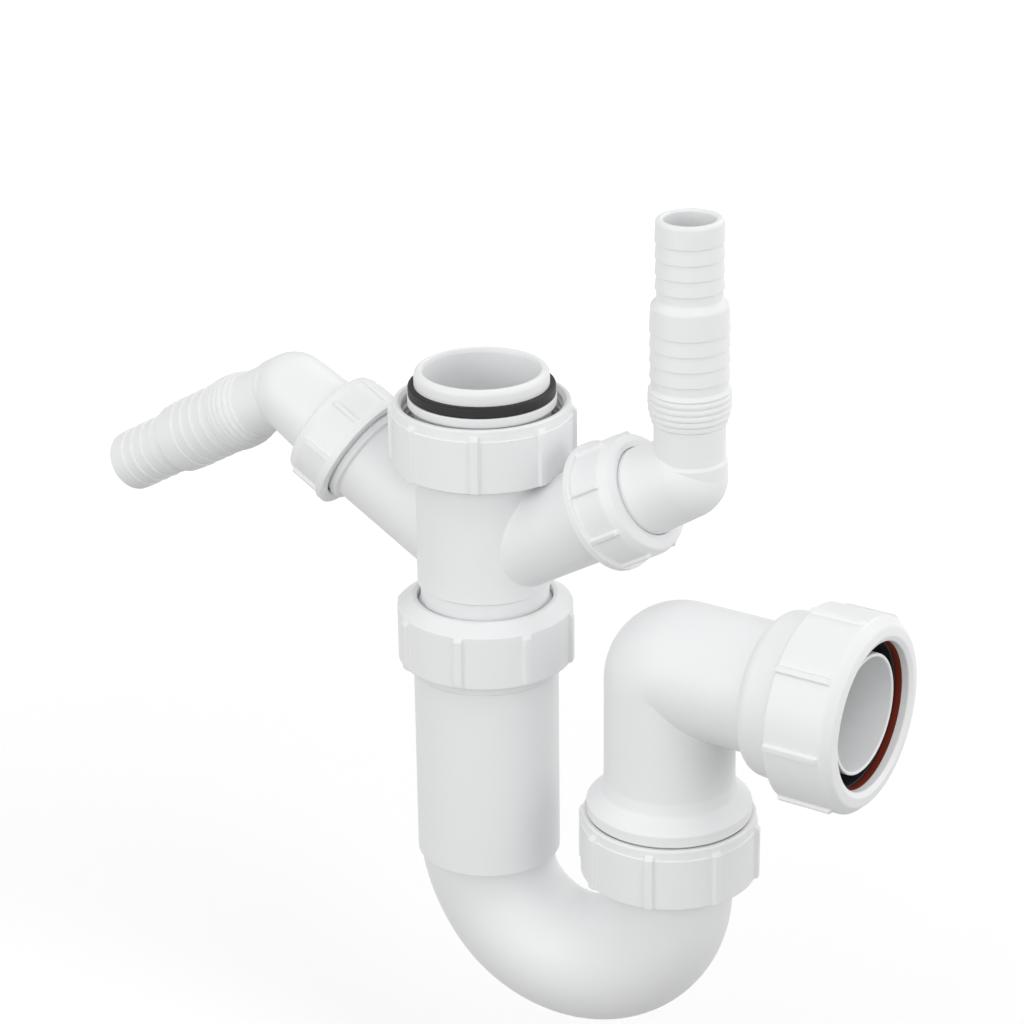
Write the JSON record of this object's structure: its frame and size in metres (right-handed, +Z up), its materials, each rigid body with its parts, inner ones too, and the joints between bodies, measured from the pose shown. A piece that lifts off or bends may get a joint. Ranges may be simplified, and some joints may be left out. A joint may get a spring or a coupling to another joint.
{
  "type": "sink trap",
  "caption": "P trap for a sink in white plastic: tee inlet with two turnable hose nozzles, return bend, turning outlet elbow with a compression socket, and ribbed union nuts.",
  "frame": {"origin": "centre of the inlet, at the face of the inlet washer that seals against the sink waste", "axes": "+Z up along the inlet's axis; +X from the inlet leg towards the riser of the return bend"},
  "size_m": [0.2721, 0.0617, 0.2661],
  "materials": {
    "white_plastic": "satin",
    "black_rubber": "matt",
    "red_washer": "satin"
  },
  "bodies": {
    "tee": {"tee_body": "white_plastic", "inlet_washer": "black_rubber", "left_washer": "black_rubber", "right_washer": "black_rubber"},
    "inlet_nut": {"inlet_nut": "white_plastic"},
    "left_nut": {"left_nut": "white_plastic"},
    "right_nut": {"right_nut": "white_plastic"},
    "left_nozzle": {"left_nozzle": "white_plastic"},
    "right_nozzle": {"right_nozzle": "white_plastic"},
    "trap": {"trap_body": "white_plastic", "middle_washer": "black_rubber", "bend_washer": "black_rubber"},
    "middle_nut": {"middle_nut": "white_plastic"},
    "bend_nut": {"bend_nut": "white_plastic"},
    "elbow": {"outlet_elbow": "white_plastic", "outlet_slip_washer": "red_washer", "outlet_seal": "black_rubber"},
    "outlet_nut": {"outlet_nut": "white_plastic"}
  },
  "joints": [
    {"name": "inlet_nut_turn", "type": "hinge", "parent": "tee", "child": "inlet_nut", "pos_m": [0, 0, 0], "axis": [0, 0, 1], "continuous": true},
    {"name": "trap_swivel", "type": "hinge", "parent": "tee", "child": "trap", "pos_m": [0, 0, 0], "axis": [0, 0, 1], "range_deg": [-150, 150]},
    {"name": "middle_nut_turn", "type": "hinge", "parent": "trap", "child": "middle_nut", "pos_m": [0, 0, 0], "axis": [0, 0, 1], "continuous": true},
    {"name": "bend_nut_turn", "type": "hinge", "parent": "trap", "child": "bend_nut", "pos_m": [0.0629, 0, 0], "axis": [0, 0, 1], "continuous": true},
    {"name": "elbow_swivel", "type": "hinge", "parent": "trap", "child": "elbow", "pos_m": [0.0629, 0, 0], "axis": [0, 0, 1], "range_deg": [-110, 110]},
    {"name": "outlet_nut_turn", "type": "hinge", "parent": "elbow", "child": "outlet_nut", "pos_m": [0.0629, 0, -0.0772], "axis": [0.998, -0.0628, 0], "continuous": true},
    {"name": "left_nut_turn", "type": "hinge", "parent": "tee", "child": "left_nut", "pos_m": [0, 0, -0.0553], "axis": [-0.8645, 0.0332, 0.5015], "continuous": true},
    {"name": "right_nut_turn", "type": "hinge", "parent": "tee", "child": "right_nut", "pos_m": [0, 0, -0.0553], "axis": [0.8645, -0.0332, 0.5015], "continuous": true},
    {"name": "left_nozzle_swivel", "type": "hinge", "parent": "tee", "child": "left_nozzle", "pos_m": [0, 0, -0.0553], "axis": [-0.8645, 0.0332, 0.5015], "continuous": true},
    {"name": "right_nozzle_swivel", "type": "hinge", "parent": "tee", "child": "right_nozzle", "pos_m": [0, 0, -0.0553], "axis": [0.8645, -0.0332, 0.5015], "range_deg": [-140, 140]}
  ]
}
